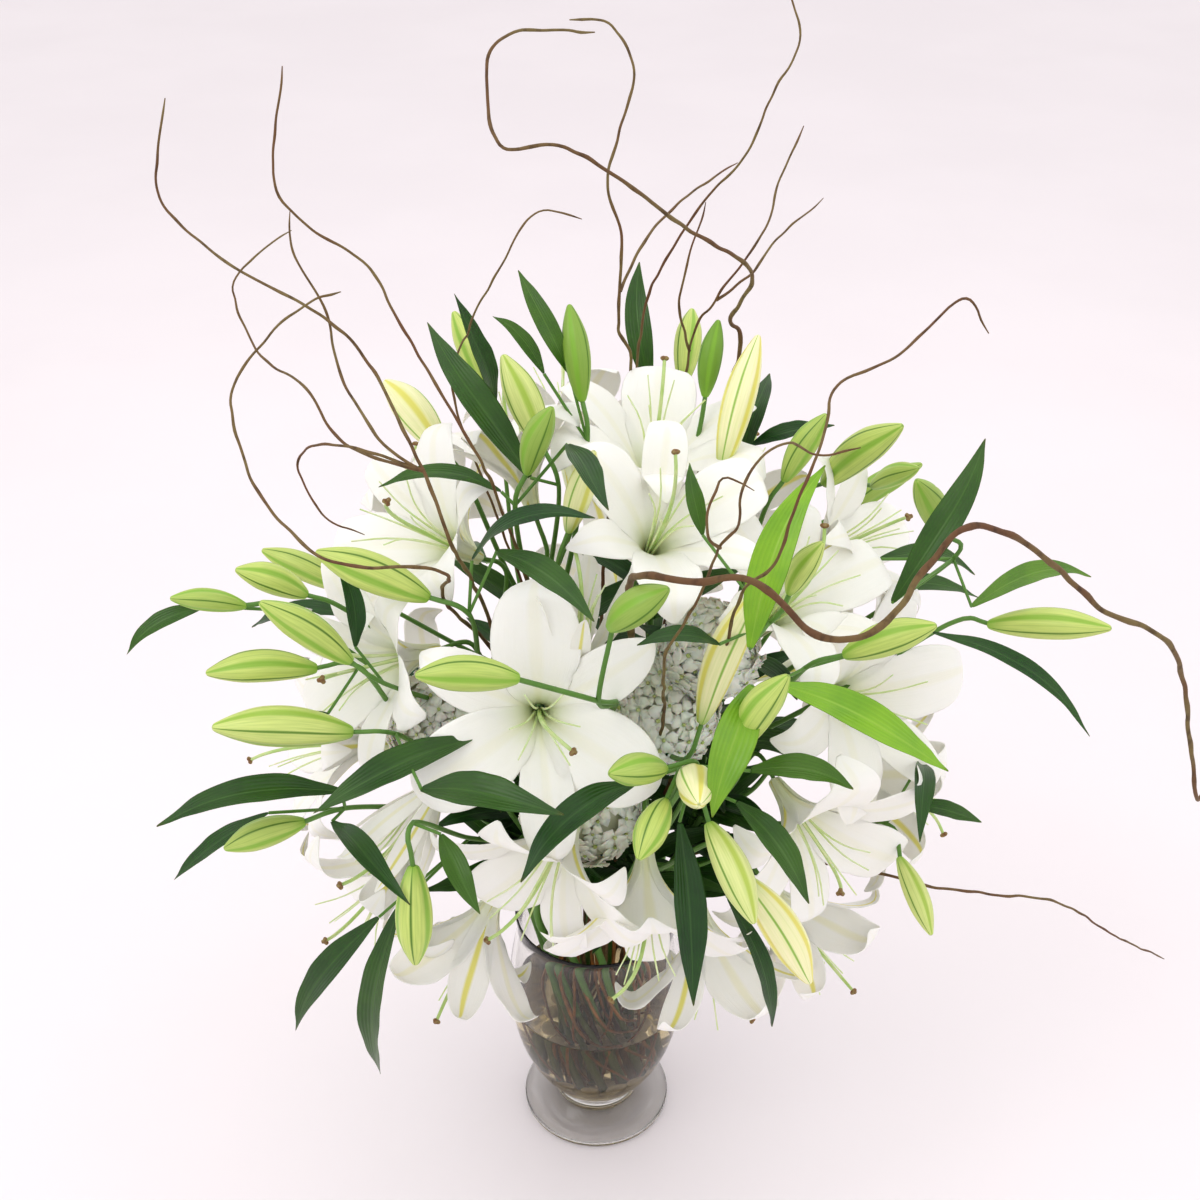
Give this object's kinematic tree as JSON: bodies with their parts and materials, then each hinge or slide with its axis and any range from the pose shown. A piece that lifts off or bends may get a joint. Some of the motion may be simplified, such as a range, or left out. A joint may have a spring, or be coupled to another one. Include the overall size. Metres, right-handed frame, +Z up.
{
  "type": "flower_arrangement",
  "caption": "Tall bouquet of open white lilies with closed buds, dark leaves, hydrangea heads and curly willow branches, standing in water in a footed clear glass urn vase.",
  "frame": {"origin": "centre of the flat underside of the vase's foot", "axes": "+Z up, -Y towards the side that is seen first, +X to its right"},
  "size_m": [0.9015, 0.6923, 1.1308],
  "materials": {
    "clear_glass": "clear, polished",
    "clear_water": "clear water",
    "pale_stone": "smooth pebbles",
    "lily_green": "waxy green stems, leaves and buds",
    "white_petal": "white waxy petals",
    "willow_bark": "smooth brown bark",
    "hydrangea_white": "soft greenish-white florets"
  },
  "bodies": {
    "root": {"vase": "clear_glass", "water": "clear_water", "pebbles": "pale_stone", "lily_stem_01": "lily_green", "lily_stem_02": "lily_green", "lily_stem_03": "lily_green", "lily_stem_04": "lily_green", "lily_stem_05": "lily_green", "lily_stem_06": "lily_green", "lily_stem_07": "lily_green", "lily_stem_08": "lily_green", "lily_stem_09": "lily_green", "lily_stem_10": "lily_green", "lily_stem_11": "lily_green", "lily_stem_12": "lily_green", "lily_stem_13": "lily_green", "lily_bloom_01": "white_petal", "lily_bloom_02": "white_petal", "lily_bloom_03": "white_petal", "lily_bloom_04": "white_petal", "lily_bloom_05": "white_petal", "lily_bloom_06": "white_petal", "lily_bloom_07": "white_petal", "lily_bloom_08": "white_petal", "lily_bloom_09": "white_petal", "lily_bloom_10": "white_petal", "lily_bloom_11": "white_petal", "lily_bloom_12": "white_petal", "lily_bloom_13": "white_petal", "lily_bloom_14": "white_petal", "lily_bloom_15": "white_petal", "lily_bloom_16": "white_petal", "lily_bloom_17": "white_petal", "lily_bloom_18": "white_petal", "lily_bloom_19": "white_petal", "lily_bloom_20": "white_petal", "lily_bloom_21": "white_petal", "lily_bloom_22": "white_petal", "lily_bloom_23": "white_petal", "lily_bloom_24": "white_petal", "lily_bloom_25": "white_petal", "lily_bloom_26": "white_petal", "willow_branch_01": "willow_bark", "willow_branch_02": "willow_bark", "willow_branch_03": "willow_bark", "willow_branch_04": "willow_bark", "willow_branch_05": "willow_bark", "willow_branch_06": "willow_bark", "willow_branch_07": "willow_bark", "willow_branch_08": "willow_bark", "willow_branch_09": "willow_bark", "willow_branch_10": "willow_bark", "willow_branch_11": "willow_bark", "willow_branch_12": "willow_bark", "hydrangea_01": "hydrangea_white", "hydrangea_02": "hydrangea_white", "hydrangea_03": "hydrangea_white", "hydrangea_04": "hydrangea_white"}
  },
  "joints": []
}
